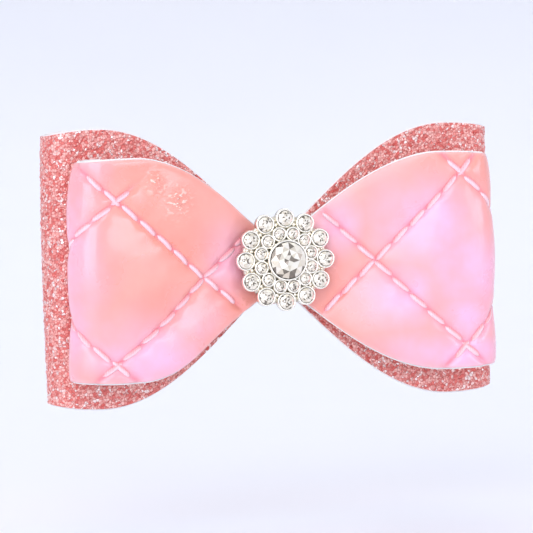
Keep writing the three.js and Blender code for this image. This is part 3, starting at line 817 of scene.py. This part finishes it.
def build_band():
    """The band round the waist: a closed ring of strip with soft corners, crowned and creased."""
    low, high = band_low, band_high
    centre = (low + high) / 2
    half = (high - low) / 2
    across = np.linspace(-1, 1, BAND_ROWS)
    angle = np.arange(BAND_TURNS) * 2 * math.pi / BAND_TURNS

    def ring(inset, share):
        y = np.sign(np.cos(angle)) * np.abs(np.cos(angle)) ** BAND_CORNER * (half.y - inset)
        z = np.sign(np.sin(angle)) * np.abs(np.sin(angle)) ** BAND_CORNER * (half.z - inset)
        x = share * half.x + 0 * angle
        return np.stack([x + centre.x, y + centre.y, z + centre.z], -1)

    lift = BAND_CROWN * np.cos(across * math.pi / 2) + BAND_CREASE * np.sin(9 * across)
    outer = np.stack([ring(-bulge, share) for share, bulge in zip(across, lift)])
    inner = np.stack([ring(BAND_THICKNESS * 0.9, share) for share in across])
    outer[1:-1] += random.normal(0, BAND_CREASE, outer[1:-1].shape)
    faces = []
    size = BAND_ROWS * BAND_TURNS
    for i in range(BAND_ROWS):
        for j in range(BAND_TURNS):
            a, b = i * BAND_TURNS + j, i * BAND_TURNS + (j + 1) % BAND_TURNS
            c, d = b + BAND_TURNS, a + BAND_TURNS
            if i + 1 < BAND_ROWS:
                faces.append((a, d, c, b))
                faces.append((a + size, b + size, c + size, d + size))
            else:
                faces.append((a, a + size, b + size, b))
            if i == 0:
                faces.append((b, b + size, a + size, a))
    band = new_piece("centre_band_wrap", shell_points(outer, inner), faces, glitter, smooth=False)
    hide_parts("centre_band")


# ---------------- button
def lathe(profile, centre, sides):
    """Points and faces of a closed shape: a profile of (radius, y) turned about Y through centre."""
    angle = np.arange(sides) * 2 * math.pi / sides
    points, faces = [], []
    for radius, y in profile:
        x, z = centre[0] + radius * np.sin(angle), centre[1] + radius * np.cos(angle)
        points.append(np.stack([x, y + 0 * angle, z], -1))
    last = (len(profile) - 1) * sides
    for i in range(0, last, sides):
        for j in range(sides):
            a, b = i + j, i + (j + 1) % sides
            faces.append((a, b, b + sides, a + sides))
    faces.append(tuple(range(sides - 1, -1, -1)))
    faces.append(tuple(range(last, last + sides)))
    return np.concatenate(points), faces


def middle(node):
    low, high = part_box(node)
    return (low + high) / 2


def sphere(centre, radius, rings=6, sides=10):
    pole = 0.02  # radians: each pole is a very small flat
    turn = np.linspace(pole, math.pi - pole, rings + 1)
    profile = [(radius * math.sin(t), centre[1] - radius * math.cos(t)) for t in turn]
    return lathe(profile, (centre[0], centre[2]), sides)


CUP_WALL = 0.46 * MM
CUP_FIT = 1.06  # cup's opening to stone's radius
STONE_FIT = 1.05  # stone's radius here to the CAD stone's
PLATE = 1.2 * MM
PLATE_RADIUS = 9.6 * MM
SCALLOPS = 12
PLATE_SIDES = 144
# The plate's section: shares of its radius, and how far in front of its front rim or its back face.
PLATE_FRONT = ((0.2, 0.35 * MM), (0.96, 0.2 * MM), (1.0, 0.0))
PLATE_BACK = ((1.0, 0.25 * MM), (0.97, 0.0), (0.2, 0.0))
# Grains between the outer cups: share of the way to the middle, depth behind the stones' middles, radius.
GRAINS = ((0.10, 0.75 * MM, 0.5 * MM), (0.0, 1.15 * MM, 0.42 * MM))
PLATE_SHADE, GRAIN_SHADE = 0.55, 0.15


def bezel_profile(opening, rim, foot):
    """Section of a bezel cup, from its outside to its seat, with how much painted shade each point gets."""
    outside = opening + CUP_WALL
    lip_radius = CUP_WALL / 2
    turn = np.linspace(0, math.pi, 7)
    lip = [(opening + lip_radius * (1 + math.cos(t)), rim + lip_radius * (1 - math.sin(t))) for t in turn]
    section = [(outside * 1.02, foot), (outside, rim + 0.9 * MM)] + lip
    section += [(opening, rim + 0.35 * MM), (opening - 0.02 * MM, rim + 0.7 * MM)]
    shade = [0.8, 0.25] + [0.0] * (len(lip) - 1) + [0.3, 0.45, 0.6]
    return section, shade


def add_plate(cast, hub, front, back):
    """The scalloped plate behind the cups."""
    profile = [(share * PLATE_RADIUS, front - rise) for share, rise in PLATE_FRONT]
    profile += [(share * PLATE_RADIUS, back - rise) for share, rise in PLATE_BACK]
    points, faces = lathe(profile, (hub.x, hub.z), PLATE_SIDES)
    spoke = np.arctan2(points[:, 0] - hub.x, points[:, 2] - hub.z)
    scallop = 0.97 + 0.045 * np.abs(np.cos(SCALLOPS / 2 * spoke))
    points[:, 0] = hub.x + (points[:, 0] - hub.x) * scallop
    points[:, 2] = hub.z + (points[:, 2] - hub.z) * scallop
    cast.add(points, faces, [PLATE_SHADE] * len(points))


def add_cup(cast, node, foot):
    """The cup round one stone."""
    low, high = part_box(node)
    centre = (low + high) / 2
    opening = (high.z - low.z) / 2 * CUP_FIT
    rim = low.y + 0.45 * (high.y - low.y)
    sides = 40 if node == "centre_stone" else 24
    section, shade = bezel_profile(opening, rim, foot)
    cast.add(*lathe(section, (centre.x, centre.z), sides), np.repeat(shade, sides))


def build_setting():
    """Cast setting: a scalloped back plate, a bezel cup for each stone, and grains between the cups."""
    low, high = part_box("button_setting")
    hub = (low + high) / 2
    cast = Gathered()
    plate_front = high.y - PLATE
    add_plate(cast, hub, plate_front, high.y)
    for node in stone_nodes():
        add_cup(cast, node, plate_front)
    outer = np.array([middle(f"outer_stone_{i:02d}") for i in range(1, 13)])
    for here, there in zip(outer, np.roll(outer, -1, 0)):
        between = (here + there) / 2
        toward = np.array([hub.x, between[1], hub.z]) - between
        for share, sink, radius in GRAINS:
            place = between + toward * share
            points, faces = sphere((place[0], place[1] + sink, place[2]), radius)
            cast.add(points, faces, [GRAIN_SHADE] * len(points))
    piece = cast.piece("button_casting", silver)
    add_point_values(piece, "shade", cast.values)
    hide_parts("button_setting")


def stone_nodes():
    return (
        ["centre_stone"]
        + [f"outer_stone_{i:02d}" for i in range(1, 13)]
        + [f"inner_stone_{i:02d}" for i in range(1, 13)]
    )


def build_stone(node, number):
    """A round brilliant: star, kite and girdle facets, each with a light or dark painted reflection standing
    for the foil's wedges seen through the table.
    """
    low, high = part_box(node)
    centre = (low + high) / 2
    radius = (high.z - low.z) / 2 * STONE_FIT
    girdle = low.y + 0.42 * (high.y - low.y)
    table = low.y
    folds = 8
    turn = 0.31 * number  # no two neighbours face the same way
    rings = []

    def ring(share, y, count, offset):
        start = sum(len(r) for r in rings)
        angle = (np.arange(count) + offset) * 2 * math.pi / count + turn
        x, z = centre.x + radius * share * np.sin(angle), centre.z + radius * share * np.cos(angle)
        rings.append(np.stack([x, y + 0 * angle, z], -1))
        return [start + i for i in range(count)]

    sink = 0.10 * radius
    heart = ring(0.0, table + sink, 1, 0)[0]
    star = ring(0.30, table + 0.55 * sink, folds, 0.5)
    tab = ring(0.60, table, folds, 0)
    mid = ring(0.82, table + 0.45 * (girdle - table), folds, 0.5)
    rim = ring(1.0, girdle, 2 * folds, 0)
    foot = ring(1.0, girdle + 0.12 * (high.y - girdle), 2 * folds, 0)
    culet = ring(0.0, high.y, 1, 0)[0]
    faces, darkness = [], []

    def cut(dark_share, *corners):
        faces.append(corners)
        darkness.append(dark_share)

    for i in range(folds):
        j = (i + 1) % folds
        left, here, right = rim[2 * i], rim[2 * i + 1], rim[2 * j]
        cut(0.3, heart, star[i - 1], star[i])
        cut(0.5, star[i - 1], tab[i], star[i])
        cut(0.15, tab[i], tab[j], star[i])
        cut(0.3, tab[i], mid[i], tab[j])
        cut(0.1, tab[i], mid[i - 1], left)
        cut(0.1, tab[i], left, mid[i])
        cut(0.2, mid[i], left, here)
        cut(0.2, mid[i], here, right)
    for i in range(2 * folds):
        j = (i + 1) % (2 * folds)
        cut(0.5, rim[i], foot[i], foot[j], rim[j])
        cut(0.5, foot[i], culet, foot[j])
    points = np.concatenate(rings)
    gem = new_piece(f"{node}_cut", points, faces, stone, smooth=False)
    clean = bmesh.new()
    clean.from_mesh(gem.data)
    bmesh.ops.recalc_face_normals(clean, faces=clean.faces)
    clean.to_mesh(gem.data)
    clean.free()
    # painted reflections: each facet's value picks a dark or a light painted reflection
    facet = gem.data.attributes.new("facet", "FLOAT", "FACE")
    dark = random.uniform(0, 1, len(faces)) < darkness
    values = np.where(dark, random.uniform(0, 0.24, len(faces)), random.uniform(0.28, 1, len(faces)))
    facet.data.foreach_set("value", values.astype(np.float32))
    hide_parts(node)


# ---------------- glue
GLUE_SPREAD = 0.29 * MM  # how far the bead reaches past its CAD pad, front and back
GLUE_ROUNDNESS = 0.35


def build_glue(name, node):
    """A flattened, slightly uneven bead of glue that fills the gap that its CAD pad marks."""
    low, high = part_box(node)
    centre = (low + high) / 2
    half = (high - low) / 2
    half.y += GLUE_SPREAD
    rows, turns = 14, 40
    level = np.linspace(-0.999, 0.999, rows)  # just short of the poles
    angle = np.arange(turns) * 2 * math.pi / turns
    profile = [(math.sqrt(1 - v * v) ** GLUE_ROUNDNESS, centre.y + v * half.y) for v in level]
    points, faces = lathe(profile, (0, 0), turns)
    wobble = 1 + 0.06 * np.sin(3 * angle + 0.5) + 0.04 * np.sin(5 * angle)
    wobble = np.tile(wobble, rows)
    points[:, 0] = centre.x + points[:, 0] * half.x * wobble
    points[:, 2] = centre.z + points[:, 2] * half.z * wobble
    piece = new_piece(name, points, faces, glue)
    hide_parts(node)


# ---------------- clip
WELD = 0.002 * MM
FLAT_ANGLE, EDGE_ANGLE, SHADE_ANGLE = (math.radians(degrees) for degrees in (1.5, 38, 32))


def build_rounded(node, name, body, material, width):
    """A finer copy of a CAD node with its sharp edges broken, as tumbled and plated sheet metal has."""
    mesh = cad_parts[node].data.copy()
    mesh.name = name
    copy = bpy.data.objects.new(name, mesh)
    bpy.context.scene.collection.objects.link(copy)
    mesh.materials.clear()
    mesh.materials.append(material)
    solid = bmesh.new()
    solid.from_mesh(mesh)
    bmesh.ops.remove_doubles(solid, verts=solid.verts, dist=WELD)
    bmesh.ops.dissolve_limit(solid, angle_limit=FLAT_ANGLE, verts=solid.verts, edges=solid.edges)
    sharp = [e for e in solid.edges if len(e.link_faces) == 2 and e.calc_face_angle(0) > EDGE_ANGLE]
    rounding = {"offset": width, "segments": 2, "profile": 0.6}
    bmesh.ops.bevel(solid, geom=sharp, affect="EDGES", clamp_overlap=True, **rounding)
    solid.to_mesh(mesh)
    solid.free()
    mesh.polygons.foreach_set("use_smooth", [True] * len(mesh.polygons))
    mesh.set_sharp_from_angle(angle=SHADE_ANGLE)
    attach(copy, body)
    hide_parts(node)


def build_spring():
    """The torsion spring: a leg on the fixed handle, a coil on the pin, and a leg on the moving handle."""
    low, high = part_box("clip_spring")
    pin = middle("clip_pin")
    wire, coil, turns = 0.35 * MM, 1.55 * MM, 3.5
    leg, front_slope, back_slope = 8 * MM, 0.95 * MM, 2.1 * MM
    half_length = (high.z - low.z) / 2 - wire
    points = []
    for share in np.linspace(1, 0, 12)[:-1]:
        points.append((pin.x + leg * share, pin.y - coil - front_slope * share, -half_length))
    for share in np.linspace(0, 1, 112):
        angle = -math.pi / 2 - share * turns * 2 * math.pi
        x, y = pin.x + coil * math.cos(angle), pin.y + coil * math.sin(angle)
        points.append((x, y, half_length * (2 * share - 1)))
    for share in np.linspace(0, 1, 12)[1:]:
        points.append((pin.x + leg * share, pin.y + coil + back_slope * share, half_length))
    centres = np.array(points)
    outward = np.tile([0.0, 0.0, 1.0], (len(centres), 1))
    shape, faces = bar_shape(centres, outward, wire, wire, SPRING_SIDES)
    spring = mesh_object("torsion_spring", shape, faces, spring_steel)
    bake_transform(spring)
    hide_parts("clip_spring")


# ---------------- stage, light, camera
HANG = 26 * MM  # the bow is worn, so it hangs this far above the studio floor
FLOOR_RADIUS = 0.5
WALL_CURVE = 1.5
WALL_TOP = 2.4


def build_stage():
    """A pale floor that curves up into a wall all round, far outside every view."""
    floor = cad_low.z - HANG
    turn = np.linspace(0, math.pi / 2, 24)
    profile = [(FLOOR_RADIUS + WALL_CURVE * math.sin(t), WALL_CURVE * (1 - math.cos(t))) for t in turn]
    profile.append((FLOOR_RADIUS + WALL_CURVE, WALL_TOP))
    sides = 96
    angle = np.arange(sides) * 2 * math.pi / sides
    points = [np.array([[0, 0, floor]])]
    for radius, height in profile:
        x, y = radius * np.cos(angle), radius * np.sin(angle)
        points.append(np.stack([x, y, floor + height + 0 * angle], 1))
    faces = [(0, 1 + j, 1 + (j + 1) % sides) for j in range(sides)]
    for i in range(len(profile) - 1):
        for j in range(sides):
            a, b = 1 + i * sides + j, 1 + i * sides + (j + 1) % sides
            faces.append((a, a + sides, b + sides, b))
    m = Maker("studio_paper", Specular_IOR_Level=0.2)
    base = m.blend(m.noise(6, 2), colour(0.875, 0.895, 0.95), colour(0.91, 0.925, 0.96))
    paper = m.use(Base_Color=base, Roughness=m.spread(m.noise(40, 2), 0.3, 0.7, 0.7, 0.85))
    mesh_object("studio_floor", np.concatenate(points), faces, paper)


def direction(azimuth, elevation):
    """From the bow, in degrees of azimuth, 0 in front and 90 to the right, and of elevation."""
    a, e = math.radians(azimuth), math.radians(elevation)
    return Vector((math.sin(a) * math.cos(e), -math.cos(a) * math.cos(e), math.sin(e)))


LIT_POINT = Vector((0, -10 * MM, 0))
PALE_LILAC, PALE_BLUE = (0.97, 0.93, 1.0), (0.97, 0.98, 1.0)


def softbox(name, azimuth, elevation, distance, width, height, power, tint):
    light = bpy.data.lights.new(name, "AREA")
    light.shape = "RECTANGLE"
    light.size, light.size_y = width, height
    light.energy = power
    light.color = tint
    lamp = bpy.data.objects.new(name, light)
    bpy.context.scene.collection.objects.link(lamp)
    lamp.location = direction(azimuth, elevation) * distance
    lamp.rotation_euler = (LIT_POINT - lamp.location).to_track_quat("-Z", "Y").to_euler()
    lamp.visible_camera = False


def build_light():
    softbox("key_front_left", -38, 20, 0.85, 0.8, 0.7, 3.6, PALE_LILAC)
    softbox("low_right", 38, 5.5, 1.1, 0.84, 0.28, 2.2, PALE_LILAC)
    softbox("back_rim", 165, 45, 1.1, 1.0, 0.6, 2.0, PALE_BLUE)
    world = bpy.data.worlds.new("studio")
    world.use_nodes = True
    background = world.node_tree.nodes["Background"]
    background.inputs["Color"].default_value = (0.955, 0.955, 1.0, 1.0)
    background.inputs["Strength"].default_value = 0.97
    bpy.context.scene.world = world


def build_camera():
    """Long lens from the bow's left and a little above, rolled slightly, and aimed at the waist."""
    azimuth, elevation, roll = -17.2, 3.0, -1.16
    distance = 0.6
    picture_width = 0.1139  # at the bow's middle
    aside, above = 1.6 * MM, 0.75 * MM  # how far the bow's middle sits right of and above the picture's
    target = Vector((0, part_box("centre_band")[1].y - 3.2 * MM, 0))
    away = direction(azimuth, elevation)
    forward = -away
    right = forward.cross(Vector((0, 0, 1))).normalized()
    up = right.cross(forward)
    turn = math.radians(roll)
    right, up = math.cos(turn) * right + math.sin(turn) * up, math.cos(turn) * up - math.sin(turn) * right
    aim = target - right * aside - up * above
    data = bpy.data.cameras.new("camera")
    data.sensor_width = 36
    data.lens = distance / picture_width * data.sensor_width
    data.clip_start, data.clip_end = 0.01, 20
    camera = bpy.data.objects.new("camera", data)
    bpy.context.scene.collection.objects.link(camera)
    basis = Matrix((right, up, away)).transposed().to_4x4()
    camera.matrix_world = Matrix.Translation(aim + away * distance) @ basis
    bpy.context.scene.camera = camera
    bpy.context.scene.view_settings.view_transform = "Standard"


build_camera()
build_band()
build_quilted_film()
build_quilted_lining()
build_stitches(-1, LEFT_SEAMS, "quilting_stitches_left", "quilting_thread_left")
build_stitches(1, RIGHT_SEAMS, "quilting_stitches_right", "quilting_thread_right")
build_glitter_sheet()
build_glitter_lining()
build_setting()
for number, node in enumerate(stone_nodes()):
    build_stone(node, number)
build_glue("button_glue_bead", "button_glue")
build_glue("clip_glue_bead", "clip_glue")
build_rounded("clip_fixed_jaw", "fixed_jaw", "bow", steel, 0.14 * MM)
build_rounded("clip_moving_jaw", "moving_jaw", "clip_jaw", steel, 0.12 * MM)
build_rounded("clip_pin", "hinge_pin", "bow", steel, 0.15 * MM)
build_spring()
build_stage()
build_light()
